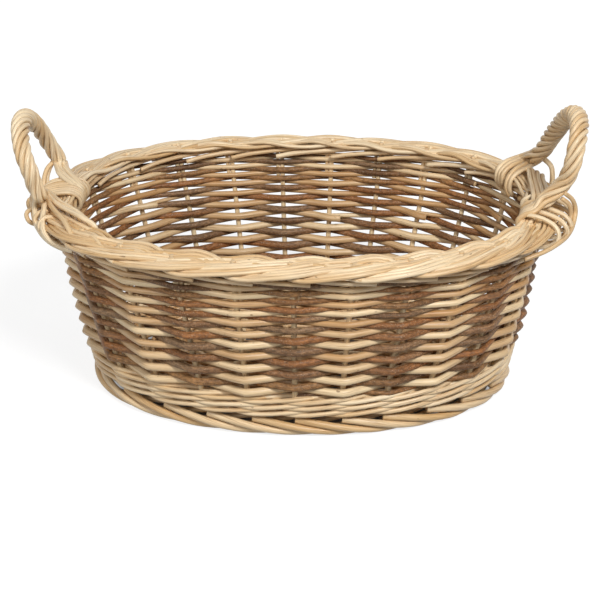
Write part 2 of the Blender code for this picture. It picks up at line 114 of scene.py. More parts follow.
# Rods over the border at each foot, those that go inside and those that go down outside: bays
# from the handle's middle, across and up in millimetres
FEET = {
    ("left", "front", "inside"): (
        ((0.6, 8, 12), (1.05, -1, 8.6), (1.45, -7, 8.3), (1.85, -11.5, 6.8), (2.05, -15.5, 1.5),
         (2.1, -15, -5), (2.12, -11, -11)),
        ((0.6, 6, 12.5), (0.95, -3, 8.8), (1.3, -9, 8), (1.62, -14, 4.5), (1.75, -16.8, -1),
         (1.8, -13, -9)),
        ((0.7, 7, 12), (0.95, 5, 9.4), (1.3, 3, 8.3), (1.65, 2, 7.2), (1.95, 4, 3), (2.2, 7, -4)),
    ),
    ("left", "front", "outside"): (
        ((0.85, 9, 10), (1.05, 10, 8), (1.3, 14.5, 4), (1.55, 17.5, -2), (1.8, 13, -9),
         (2.0, 6, -12)),
        ((0.72, 15, 13), (0.85, 17, 7), (1.05, 18.4, 0), (1.35, 18.4, -4), (1.65, 15.5, -8),
         (1.9, 9, -12)),
        ((0.7, 18, 12), (0.76, 19, 5), (0.9, 19.4, -2), (1.15, 17.5, -8), (1.4, 12, -12),
         (1.6, 6, -14)),
    ),
    ("left", "back", "inside"): (
        ((0.66, 9, 14), (0.47, 3, 11.5), (0.29, -4, 9.3), (0.14, -11, 6.3), (0.05, -16.5, 0),
         (0.03, -13, -9)),
        ((0.58, 8, 14), (0.38, 2, 11.5), (0.2, -5, 9.2), (0.05, -12, 5.6), (-0.03, -16.8, -2),
         (-0.04, -12, -11)),
        ((0.5, 10, 14.5), (0.3, 4, 12), (0.12, -3, 9.8), (-0.03, -10.5, 6.8), (-0.11, -16.5, 0),
         (-0.12, -13, -10)),
        ((0.43, 11, 14.5), (0.22, 5, 12), (0.04, -2, 10), (-0.12, -10, 6.8), (-0.2, -16.8, -1),
         (-0.22, -12, -11)),
    ),
    ("left", "back", "outside"): (
        ((0.38, 19, 13), (0.24, 19.8, 7), (0.15, 19.5, 0), (0.1, 16, -8), (0.1, 8, -14)),
        ((0.5, 19, 13), (0.36, 20, 6), (0.28, 19, -1), (0.25, 15, -9), (0.25, 7, -14)),
    ),
    ("right", "front", "inside"): (
        ((0.86, -7, 8.8), (0.92, -12.5, 6), (0.96, -16.8, 0), (0.98, -13, -8)),
        ((0.78, -8, 9.2), (0.84, -13.5, 5.8), (0.88, -17, -1), (0.9, -13, -9)),
        ((0.7, -8.5, 9.5), (0.76, -14, 5.5), (0.79, -17, -2), (0.8, -12, -10)),
        ((0.63, -9, 9.5), (0.68, -14.5, 5), (0.7, -17, -3), (0.71, -12, -10)),
        ((0.56, -9.5, 9.2), (0.6, -15, 4.5), (0.61, -17, -3), (0.62, -12, -11)),
        ((0.5, -10, 9), (0.52, -15.5, 3.5), (0.53, -17, -4), (0.53, -12, -11)),
    ),
    ("right", "front", "outside"): (),
    ("right", "back", "inside"): (
        ((2.14, 9, 10), (2.1, 0, 9.2), (2.06, -8, 7.6), (2.02, -15.5, 2), (2.0, -16, -5),
         (2.0, -11, -12)),
        ((2.03, 9, 10.2), (1.98, 0, 9.3), (1.94, -8, 7.6), (1.9, -15.8, 1.5), (1.88, -15.5, -7),
         (1.88, -12, -12)),
        ((1.92, 10, 10.4), (1.87, 1, 9.4), (1.83, -8, 7.6), (1.79, -15.8, 1.5), (1.77, -15, -8)),
        ((1.78, 9, 11), (1.71, 0, 9.2), (1.62, -9, 7.2), (1.53, -16.8, 0), (1.47, -17.5, -8),
         (1.44, -14, -14)),
        ((1.66, 9, 10.5), (1.56, 1, 9.4), (1.48, -7, 8.2), (1.42, -15.5, 2), (1.4, -16.5, -7),
         (1.4, -12, -13)),
    ),
    ("right", "back", "outside"): (
        ((1.42, 20, 12), (1.37, 21, 5), (1.33, 20.5, -2), (1.3, 16, -9), (1.3, 8, -14)),
    ),
}
# Rods wound over the border, from under it outside to under it inside: bays from the handle's
# middle to the back, how far they stand off outside and their thickness in millimetres
WRAPS = {
    "left": (
        (-0.58, 0, 3.5), (-0.48, 0, 3.6), (-0.38, 0, 3.4), (-0.28, 0, 3.5), (-0.18, 0, 3.6),
        (-0.08, 0, 3.4), (0.02, 0, 3.6), (0.12, 0, 3.4),
    ),
    "right": ((-1.0, 1, 3.6), (-0.75, 4, 3.8), (-0.5, 5, 3.8), (-0.25, 5, 3.7), (0.05, 3, 3.6)),
}
# A wrap: share of its slant, across and up in millimetres
WRAP_ROUTE = (
    (-1.0, 4, -14), (-0.9, 11, -11), (-0.7, 16.5, -6), (-0.5, 18, 0), (-0.2, 14, 5.4),
    (0.2, 6, 7.6), (0.5, -4, 7.6), (0.8, -12, 5.4), (1.0, -17.2, 0), (1.1, -16.5, -7),
    (1.2, -11, -12),
)
# A loop: bays, across, share of how far it stands off, and up in millimetres
LOOP_ROUTE = (
    (-0.1, 6, 0, -13), (-0.07, 12, 0.5, -9), (-0.04, 17, 1, -3), (0, 17.5, 1, 1.5),
    (0.04, 13, 0.5, 5.5), (0.07, 8, 0, 4.5), (0.1, 4, 0, 1),
)


def loop(bays, proud):
    """A way round the border's outer edge, from under it into the plait's top."""
    return tuple(
        (bays + shift, across + proud * share, up) for shift, across, share, up in LOOP_ROUTE
    )


# Loops outside the left foot, and rods laid over the border between the right handle's feet and
# beside its front foot: bays, across and up in millimetres
LAID = {
    "left": (loop(-1.35, 1), loop(-1.1, 2), loop(-0.85, 7.5), loop(-0.6, 3), loop(-0.4, 8)),
    "right": (
        ((1.75, 4, 4), (1.5, 0, 8.2), (1.0, -7.4, 8.4), (0.5, -10, 7.8), (0, -10.5, 7.2),
         (-0.4, -10, 2)),
        ((1.7, 7, 4), (1.5, 3.8, 8.3), (1.0, -3.5, 8.8), (0.5, -6.5, 8.4), (0, -6.7, 8),
         (-0.4, -6, 2)),
        ((1.6, 8, 4), (1.4, 6.3, 8), (1.0, -0.2, 9), (0.5, -2.8, 8.8), (0, -3, 8.2),
         (-0.4, -2, 2)),
        ((1.4, 9, 4), (1.25, 8, 7.8), (1.0, 4.0, 8.6), (0.5, 1.3, 8.8), (0, 1.3, 8), (-0.4, 2, 2)),
        ((-0.52, 12, 25), (-0.42, 19, 19), (-0.36, 23.5, 9), (-0.48, 24, 1), (-0.8, 23, -3),
         (-1.15, 20.5, -4.5), (-1.5, 17, -6.5), (-1.8, 10, -11)),
        ((-0.52, 11, 20), (-0.43, 18, 14), (-0.4, 20.5, 5), (-0.54, 20.5, -2), (-0.75, 18.5, -8),
         (-0.95, 13, -12), (-1.05, 7, -14)),
    ),
}

# Making of the rods
ROD_SIDES = 10
END_RING = 1.5 * MM  # corners this near a stake's end belong to it
CHAMFER_SHARE = 0.14
SHARP_ANGLE = math.radians(48)
GRAIN_SCATTER = 5.0  # how far apart the rods lie in their grain
LINE_STEP = 2.2 * MM  # between the rings of a rod that is laid along given knots
SAMPLES_PER_BAY = 10  # rings of a woven rod

# Places on the wall


def stake_ends(end):
    """Middles of the stakes' lowest or highest ends: the mean of each end's different corners."""
    middles = []
    for name in STAKE_NODES:
        points = np.array([vertex.co[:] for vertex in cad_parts[name].data.vertices])
        ring = points[np.abs(points[:, 2] - end(points[:, 2])) < END_RING]
        middles.append(np.unique(ring.round(6), axis=0).mean(axis=0))
    return np.array(middles)


STAKE_FEET = stake_ends(min)
STAKE_TOPS = stake_ends(max)
WEAVE_LOW = max(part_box(name)[1].z for name in WALE_NODES)
WEAVE_HIGH = min(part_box(name)[0].z for name in PLAIT_NODES)


def unit(vectors):
    """The vectors, each made one long."""
    return vectors / np.linalg.norm(vectors, axis=-1, keepdims=True)


def stake_point(stake, height):
    """Points on straight stakes, in step with the heights."""
    foot = STAKE_FEET[stake % STAKES]
    top = STAKE_TOPS[stake % STAKES]
    share = (height - foot[:, 2]) / (top[:, 2] - foot[:, 2])
    return foot + (top - foot) * share[:, None]


def wall(place, height, bow=1.0):
    """The wall at a place in bays and a height: a smooth closed curve through the stakes.

    Between two stakes it is the Catmull-Rom cubic of the four nearest. With less bow it is drawn
    towards the straight line between the two.
    """
    place, height = np.broadcast_arrays(np.asarray(place, float), np.asarray(height, float))
    first = np.floor(place).astype(int)
    t = (place - first)[:, None]
    before, near, far, after = (stake_point(first + step, height) for step in (-1, 0, 1, 2))
    line = near + (far - near) * t
    linear = far - before
    square = 2 * before - 5 * near + 4 * far - after
    cube = 3 * near - before - 3 * far + after
    curve = near + (linear * t + square * t**2 + cube * t**3) / 2
    return line + (curve - line) * bow


def outward(place, height):
    """Level unit vectors square to the wall."""
    step = 0.05  # bays
    along = wall(place + step, height) - wall(place - step, height)
    return unit(np.cross(along, (0.0, 0.0, 1.0)))


def row_height(row):
    """Height at a row count: rows are tall at the bottom and thin towards the border."""
    share = np.clip(row, 0, WEAVE_ROWS) / WEAVE_ROWS
    eased = LOW_ROW_SHARE * share - (LOW_ROW_SHARE - 1) * share**ROW_POWER
    return WEAVE_LOW + (WEAVE_HIGH - WEAVE_LOW) * eased


def samples(start, stop):
    """Places from start to stop, with one at each whole bay, where rods have their kinks."""
    first, last = start * SAMPLES_PER_BAY + 0.5, stop * SAMPLES_PER_BAY - 0.5
    inner = np.arange(math.ceil(first), math.ceil(last))
    return np.concatenate([[start], inner / SAMPLES_PER_BAY, [stop]])


def ease(value, start, stop):
    """0 up to the start, 1 from the stop on, and a smooth cubic between."""
    share = np.clip((value - start) / (stop - start), 0, 1)
    return share * share * (3 - 2 * share)


def drift(random, distance, size, wavelength):
    """A slow wander along a rod: three sines of unlike length, each at a random start."""
    total = np.zeros_like(distance)
    for stretch in (1.0, 0.61, 0.37):
        turn = random.uniform(0, 2 * math.pi)
        total = total + stretch * np.sin(2 * math.pi * distance / (wavelength * stretch) + turn)
    return total * size / 2


def smooth_line(points, spacing):
    """A smooth curve through points, sampled about evenly.

    Between two points it is the cubic that has the slopes at both, and the slope at a point is
    that of the parabola through it and its neighbours, over their straight distances.
    """
    points = np.asarray(points, float)
    gaps = np.linalg.norm(np.diff(points, axis=0), axis=1)
    travelled = np.concatenate([[0], np.cumsum(gaps)])
    slopes = np.gradient(points, travelled, axis=0)
    count = max(3, int(round(travelled[-1] / spacing)) + 1)
    distance = np.linspace(0, travelled[-1], count)
    first = np.clip(np.searchsorted(travelled, distance, "right") - 1, 0, len(gaps) - 1)
    gap = gaps[first][:, None]
    t = (distance - travelled[first])[:, None] / gap
    near, far = points[first], points[first + 1]
    leaving, arriving = slopes[first] * gap, slopes[first + 1] * gap
    square = 3 * (far - near) - 2 * leaving - arriving
    cube = 2 * (near - far) + leaving + arriving
    return near + leaving * t + square * t**2 + cube * t**3


def rounded_swing(step, sharpness):
    """A triangle wave with rounded corners, 1 at even steps and -1 at odd ones.

    It is the arcsine of a cosine, scaled to reach 1.
    """
    return np.arcsin(sharpness * np.cos(math.pi * step)) / math.asin(sharpness)


def turned(angle, first, second):
    """Directions at an angle from the first of two square directions towards the second."""
    return np.cos(angle)[..., None] * first + np.sin(angle)[..., None] * second


def border_point(place, across, up):
    """A point of the border: across is outwards from its middle and up is square to its face."""
    outwards = across * math.cos(BORDER_TILT) + up * math.sin(BORDER_TILT)
    lift = up * math.cos(BORDER_TILT) - across * math.sin(BORDER_TILT)
    point = wall(place, RIM_LEVEL) + outward(place, RIM_LEVEL) * outwards[:, None]
    point[:, 2] += lift
    return point


def border_knots(place, route, way=1):
    """Knots of a rod laid round the border: each is a point, then one millimetre of its side.

    A route lists bays from the place, counted backwards where the way is -1, and across and up
    in millimetres. The side points away from the border's middle line.
    """
    bays, across, up = np.asarray(route, float).T
    place = place + way * bays
    point = border_point(place, across * MM, up * MM)
    side = unit(point - border_point(place, 0 * across, 0 * up))
    return np.hstack([point, side * MM])


def placed(name, data):
    """A new object in the scene."""
    made = bpy.data.objects.new(name, data)
    bpy.context.scene.collection.objects.link(made)
    return made


# Rods


def with_ends(rows):
    """The rows, with the first and the last doubled."""
    return np.concatenate([rows[:1], rows, rows[-1:]])


class Bundle:
    """Rods that are gathered into one mesh, with what their material reads.

    Each bundle draws from a seed of its own, so a change in one leaves the others as they are.
    """

    def __init__(self, seed):
        self.random = np.random.default_rng(seed)
        self.points = []
        self.grain = []
        self.tone = []
        self.cut = []
        self.quads = []
        self.fans = []
        self.count = 0

    def add(self, path, radius, side, tone=None, sides=ROD_SIDES):
        """One rod with closed ends.

        Ring i is path_i + radius_i (cos a u_i + sin a v_i): u is the given side made square to
        the rod, and v is square to both. A smaller ring past each end makes a small chamfer.
        """
        path = np.asarray(path, float)
        radius = np.broadcast_to(np.asarray(radius, float), len(path))
        side = np.broadcast_to(np.asarray(side, float), path.shape)
        tangent = unit(np.gradient(path, axis=0))
        path, tangent, side, radius = map(with_ends, (path, tangent, side, radius))
        radius[[0, -1]] *= 1 - CHAMFER_SHARE
        path[0] = path[0] - tangent[0] * radius[0] * CHAMFER_SHARE
        path[-1] = path[-1] + tangent[-1] * radius[-1] * CHAMFER_SHARE
        across = unit(side - (side * tangent).sum(1, keepdims=True) * tangent)
        third = np.cross(tangent, across)
        angle = 2 * math.pi * np.arange(sides) / sides
        ring = turned(angle, across[:, None], third[:, None])
        grid = path[:, None] + radius[:, None, None] * ring
        points = np.vstack([grid.reshape(-1, 3), path[:1], path[-1:]])
        self.add_faces(len(path), sides)
        self.points.append(points)
        self.add_finish(path, radius, angle, tone)
        self.count += len(points)

    def weave(self, place, height, reach, radius, bow, tone=None):
        """One rod along the wall, reaching outwards from the line of the stakes."""
        side = outward(place, height)
        self.add(wall(place, height, bow) + side * reach[:, None], radius, side, tone)

    def lay(self, knots, radius, spacing=LINE_STEP):
        """One rod along the smooth line through knots of a point and a side."""
        line = smooth_line(knots, spacing)
        self.add(line[:, :3], radius, line[:, 3:])

    def add_faces(self, rings, sides):
        """Quads between neighbouring rings, and a fan of triangles over each end."""
        around = np.arange(sides)
        following = (around + 1) % sides
        near = sides * np.arange(rings - 1)[:, None]
        far = near + sides
        corners = (near + around, near + following, far + following, far + around)
        quads = np.stack(corners, axis=-1).reshape(-1, 4)
        last = (rings - 1) * sides
        middle = np.full(sides, rings * sides)
        start = np.stack([middle, following, around], axis=1)
        stop = np.stack([middle + 1, last + around, last + following], axis=1)
        self.quads.append(quads + self.count)
        self.fans.append(np.vstack([start, stop]) + self.count)

    def add_finish(self, path, radius, angle, tone):
        """Along and round the rod for its grain, a tone for its colour, and its cut ends."""
        steps = np.linalg.norm(np.diff(path, axis=0), axis=1)
        along = np.concatenate([[0], np.cumsum(steps)])
        rounds = (radius[:, None] * np.cos(angle), radius[:, None] * np.sin(angle))
        lengthwise = np.broadcast_to(along[:, None], rounds[0].shape)
        grain = np.stack([lengthwise, *rounds], axis=-1).reshape(-1, 3)
        ends = [[along[0], 0, 0], [along[-1], 0, 0]]
        grain = np.vstack([grain, ends]) + self.random.uniform(-GRAIN_SCATTER, GRAIN_SCATTER, 3)
        if tone is None:
            tone = self.random.uniform(0, 1)
        tone = np.broadcast_to(np.asarray(tone, float), len(path) - 2)
        tone = np.repeat(with_ends(tone), len(angle))
        tone = np.concatenate([tone, tone[[0, -1]]])
        cut = np.zeros(len(path))
        cut[[0, -1]] = 1
        self.grain.append(grain)
        self.tone.append(tone)
        self.cut.append(np.concatenate([np.repeat(cut, len(angle)), [1, 1]]))

    def make(self, name, kind, nodes):
        """The piece: one mesh of all the rods of a kind, which stands for nodes of the frame."""
        mesh = bpy.data.meshes.new(name)
        faces = np.vstack(self.quads).tolist() + np.vstack(self.fans).tolist()
        mesh.from_pydata(np.vstack(self.points), [], faces)
        mesh.polygons.foreach_set("use_smooth", np.ones(len(mesh.polygons), bool))
        mesh.set_sharp_from_angle(angle=SHARP_ANGLE)
        grain = mesh.attributes.new("grain", "FLOAT_VECTOR", "POINT")
        grain.data.foreach_set("vector", np.vstack(self.grain).astype(np.float32).ravel())
        for label, values in (("tone", self.tone), ("cut", self.cut)):
            attribute = mesh.attributes.new(label, "FLOAT", "POINT")
            attribute.data.foreach_set("value", np.concatenate(values).astype(np.float32))
        mesh.materials.append(finish(kind))
        mesh.update()
        piece = placed(name, mesh)
        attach(piece, BODY)
        if nodes:
            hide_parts(*nodes)


# Materials


class NodeDesk:
    """Short calls for building the nodes of a material or of the world."""

    def __init__(self, owner, shader="Principled BSDF"):
        owner.use_nodes = True
        self.owner = owner
        self.tree = owner.node_tree
        self.shader = self.tree.nodes[shader]

    def node(self, kind, inputs=None, **settings):
        made = self.tree.nodes.new(kind)
        for key, value in settings.items():
            setattr(made, key, value)
        for key, value in (inputs or {}).items():
            self.feed(made.inputs[key], value)
        return made

    def feed(self, socket, value):
        if isinstance(value, bpy.types.NodeSocket):
            self.tree.links.new(value, socket)
        else:
            socket.default_value = value

    def attribute(self, name, output="Fac"):
        return self.node("ShaderNodeAttribute", attribute_name=name).outputs[output]

    def noise(self, grain, lengthwise, around, detail, roughness=0.5):
        """Noise on a rod's grain, with its scale along the rod and its scale round it."""
        scale = {"Vector": grain, "Scale": (lengthwise, around, around)}
        place = self.node("ShaderNodeMapping", scale).outputs["Vector"]
        inputs = {"Vector": place, "Scale": 1.0, "Detail": detail, "Roughness": roughness}
        return self.node("ShaderNodeTexNoise", inputs).outputs["Fac"]

    def ramp(self, factor, stops):
        """Colours by a factor; a single number stands for a grey."""
        ramp = self.node("ShaderNodeValToRGB", {"Fac": factor})
        elements = ramp.color_ramp.elements
        while len(elements) < len(stops):
            elements.new(0.5)
        for element, (position, colour) in zip(elements, stops):
            element.position = position
            element.color = colour if isinstance(colour, tuple) else grey(colour)
        return ramp.outputs["Color"]

    def mix(self, factor, first, second, blend="MIX"):
        mixer = self.node("ShaderNodeMix", data_type="RGBA", blend_type=blend)
        self.feed(mixer.inputs["Factor"], factor)
        self.feed(mixer.inputs["A"], first)
        self.feed(mixer.inputs["B"], second)
        return mixer.outputs["Result"]

    def math(self, operation, first, second, clamp=False):
        made = self.node("ShaderNodeMath", operation=operation, use_clamp=clamp)
        self.feed(made.inputs[0], first)
        self.feed(made.inputs[1], second)
        return made.outputs["Value"]

    def weigh(self, first, first_share, second, second_share):
        """The sum of two values, each times its share."""
        first = self.math("MULTIPLY", first, first_share)
        return self.math("ADD", first, self.math("MULTIPLY", second, second_share))

    def distance(self, place):
        """Distance of a place from the origin."""
        inputs = {"Vector": place}
        return self.node("ShaderNodeVectorMath", inputs, operation="LENGTH").outputs["Value"]

    def fade(self, value, start, stop, low):
        """From low, where the value is at the start or under it, evenly up to 1 at the stop."""
        inputs = {"Value": value, "From Min": start, "From Max": stop, "To Min": low}
        return self.node("ShaderNodeMapRange", inputs).outputs["Result"]

    def seen(self):
        """1 for the camera's own rays and those sent on by gloss or clear surfaces, else 0."""
        rays = self.node("ShaderNodeLightPath").outputs
        seen = self.math("MAXIMUM", rays["Is Camera Ray"], rays["Is Glossy Ray"])
        return self.math("MAXIMUM", seen, rays["Is Transmission Ray"])

    def willow(self, colour, pith, roughness, relief, strength, depth, shine):
        """Feeds the shader of a rod, with pith on its cut ends, and gives the material."""
        bump = {"Height": relief, "Strength": strength, "Distance": depth}
        surface = {
            "Base Color": self.mix(self.attribute("cut"), colour, pith),
            "Roughness": roughness,
            "Normal": self.node("ShaderNodeBump", bump).outputs["Normal"],
            "Specular IOR Level": shine,
        }
        for key, value in surface.items():
            self.feed(self.shader.inputs[key], value)
        return self.owner


def grey(value):
    return (value, value, value, 1.0)


def peeled_willow(kind, light, deep, colours):
    """Peeled rods: satin, streaked lengthwise, each rod at its own tone, with few dark scars."""
    desk = NodeDesk(bpy.data.materials.new(kind))
    grain = desk.attribute("grain", "Vector")
    blotch = desk.noise(grain, 20, 70, 3.0)
    streak = desk.noise(grain, 38, 1300, 3.0, 0.65)
    fibre = desk.noise(grain, 160, 5200, 2.0)
    scar = desk.noise(grain, 150, 330, 1.0)
    deepness = desk.weigh(desk.attribute("tone"), 0.7, blotch, 0.9)
    colour = desk.mix(desk.math("SUBTRACT", deepness, 0.31, clamp=True), light, deep)
    streaks = desk.ramp(streak, [(0.30, (0.62, 0.52, 0.42, 1.0)), (0.5, 1.0), (0.75, 1.08)])
    colour = desk.mix(1.0, colour, streaks, "MULTIPLY")
    scars = desk.ramp(scar, [(0.74, 0.0), (0.79, 1.0)])
    colour = desk.mix(desk.math("MULTIPLY", scars, 0.7), colour, colours["scar"])
    roughness = desk.math("ADD", desk.math("MULTIPLY", streak, 0.25), 0.26)
    relief = desk.weigh(streak, 0.7, fibre, 0.3)
    pith = colours["pith"]
    return desk.willow(colour, pith, roughness, relief, strength=0.4, depth=0.3 * MM, shine=0.5)


def brown_willow(kind, colours):
    """Rods in their bark: mottled from dark to red brown and ash grey, with pale pores."""
    desk = NodeDesk(bpy.data.materials.new(kind))
    grain = desk.attribute("grain", "Vector")
    red, golden, dark, ash = (colours[name] for name in ("red", "golden", "dark", "ash"))
    blotch = desk.noise(grain, 30, 160, 4.0, 0.6)
    mottle = desk.noise(grain, 300, 800, 4.0, 0.7)
    pore = desk.noise(grain, 1300, 900, 1.0)
    hues = [(0.0, red), (0.3, golden), (0.55, dark), (0.78, ash), (1.0, red)]
    hue = desk.ramp(desk.attribute("tone"), hues)
    colour = desk.mix(desk.ramp(blotch, [(0.38, 0.0), (0.66, 0.7)]), hue, dark)
    mottles = desk.ramp(mottle, [(0.34, 0.5), (0.5, 1.0), (0.68, 1.75)])
    colour = desk.mix(1.0, colour, mottles, "MULTIPLY")
    pores = desk.ramp(pore, [(0.64, 0.0), (0.70, 1.0)])
    colour = desk.mix(desk.math("MULTIPLY", pores, 0.55), colour, colours["pore"])
    roughness = desk.math("ADD", desk.math("MULTIPLY", mottle, 0.3), 0.34)
    relief = desk.weigh(mottle, 0.8, pore, 0.2)
    pith = colours["pith"]
    return desk.willow(colour, pith, roughness, relief, strength=0.6, depth=0.35 * MM, shine=0.24)


def finish(kind):
    """The material of a kind of rods, made once."""
    found = bpy.data.materials.get(kind)
    if found:
        return found
    group = bpy.context.scene.willow_colours
    colours = {key: tuple(getattr(group, key)) for key in WillowColours.__annotations__}
    if kind == "bark_rods":
        return brown_willow(kind, colours)
    shade = kind.removesuffix("_rods")
    return peeled_willow(kind, colours[f"{shade}_light"], colours[f"{shade}_deep"], colours)


# Sizes and colours that a maker would change


def a_number(label, words, value, **settings):
    return bpy.props.FloatProperty(name=label, description=words, default=value, **settings)


def a_length(label, words, millimetres):
    return a_number(label, words, millimetres * MM, min=0.0, unit="LENGTH")


def a_share(label, words, value):
    return a_number(label, words, value, min=0.0, max=2.0, subtype="FACTOR")


def an_angle(label, words, degrees):
    return a_number(label, words, math.radians(degrees), subtype="ANGLE")


def a_count(label, words, value):
    return bpy.props.IntProperty(name=label, description=words, default=value, min=1)


def a_colour(label, words, value):
    return bpy.props.FloatVectorProperty(
        name=label, description=words, default=(*value, 1.0), size=4, subtype="COLOR"
    )


class WillowSizes(bpy.types.PropertyGroup):
    """Sizes of the rods."""

    weave_share: a_share("Weave thickness", "Rod thickness, of the height of its row", 1.1)
    bye_stake: a_length("Bye-stake", "Thickness of the rods beside the stakes", 3.4)
    bye_stake_depth: a_length("Bye-stake depth", "How far they reach down from the border", 30)
    wale_rod: a_length("Waling rod", "Thickness of the waling rods", 3.9)
    plait_rod: a_length("Plait rod", "Thickness of the rods of the border", 3.7)
    plait_half_width: a_length("Plait half width", "Middle of the border to its edge", 15.6)
    plait_lift: a_length("Plait lift", "How far strands rise and fall as they cross", 2.1)
    foot_rod: a_length("Foot rod", "Thickness of a foot rod at its butt", 6.3)
    handle_rod: a_length("Handle rod", "Thickness of the rods twisted round the handle", 4.3)


class WillowColours(bpy.types.PropertyGroup):
    """Colours of the rods."""

    buff_light: a_colour("Buff, light", "Lightest buff rods", (0.87, 0.69, 0.43))
    buff_deep: a_colour("Buff, deep", "Deepest buff rods", (0.50, 0.265, 0.095))
    pale_light: a_colour("Pale, light", "Lightest rods of border and foot", (0.92, 0.76, 0.52))
    pale_deep: a_colour("Pale, deep", "Deepest rods of border and foot", (0.66, 0.43, 0.20))
    scar: a_colour("Scars", "Small scars on peeled rods", (0.16, 0.075, 0.03))
    dark: a_colour("Bark, dark", "Dark bark", (0.128, 0.062, 0.027))
    red: a_colour("Bark, red brown", "Red brown bark", (0.290, 0.122, 0.043))
    golden: a_colour("Bark, golden", "Golden brown bark", (0.36, 0.19, 0.075))
    ash: a_colour("Bark, ash", "Ash grey bark", (0.258, 0.158, 0.084))
    pore: a_colour("Pores", "Pale pores of the bark", (0.52, 0.39, 0.27))
    pith: a_colour("Cut ends", "Cut ends of the rods", (0.70, 0.50, 0.28))


class WillowStage(bpy.types.PropertyGroup):
    """Camera and light."""

    elevation: an_angle("Elevation", "Camera above the floor", 25.753)
    azimuth: a_number("Azimuth", "Camera round the basket", 0.0427, subtype="ANGLE")
    distance: a_length("Distance", "Camera to the middle of the basket", 1300)
    key_power: a_number("Key lamp", "Power of the large lamp", 37.0, unit="POWER")
    fill_share: a_share("Fill lamp", "Power of the second lamp, of the key lamp's", 0.27)
    sky: a_share("Sky", "Strength of the even light from all round", 0.19)


# Pieces


class WILLOW_OT_stakes(bpy.types.Operator):
    """Stakes, and the thinner bye-stakes beside them under the border"""

    bl_idname = "willow.stakes"
    bl_label = "Stakes"

    painted_light_tones = (-0.1, 0.1)  # stakes and bye-stakes, among the palest of the buff rods: painted light, paler to make up for the shade they lie in between the rods
    tip_loss = 0.14  # of a stake's thickness
    wander = (0.25 * MM, 0.5)  # how far a stake wanders, over how much of its length

    def execute(self, context):
        sizes = context.scene.willow_sizes
        for index, node in enumerate(STAKE_NODES):
            bundle = Bundle(100 + index)
            side = outward(np.array([float(index)]), RIM_LEVEL)[0]
            self.add_stake(bundle, index, side)
            self.add_bye_stake(bundle, index, side, sizes.bye_stake, sizes.bye_stake_depth)
            bundle.make(f"side_{node}", "buff_rods", [node])
        return {"FINISHED"}

    def add_stake(self, bundle, index, side):
        """The straight line of the frame's stake, which thins towards its tip."""
        share = np.linspace(0, 1, 40)
        path = STAKE_FEET[index] + (STAKE_TOPS[index] - STAKE_FEET[index]) * share[:, None]
        path = path + side * drift(bundle.random, share, *self.wander)[:, None]
        bundle.add(path, STAKE_DIAMETER / 2 * (1 - self.tip_loss * share), side, self.painted_light_tones[0])

    def add_bye_stake(self, bundle, index, side, thickness, depth):
        """A rod beside the stake, from under the border down between the rows."""
        height = np.linspace(RIM_LEVEL - depth, RIM_LEVEL, 12)
        gap = (STAKE_DIAMETER + thickness) / 2
        bay = np.linalg.norm(STAKE_TOPS[index] - STAKE_TOPS[(index + 1) % STAKES])
        path = wall(np.full(len(height), index + gap / bay), height)
        bundle.add(path, thickness / 2, side, self.painted_light_tones[1])


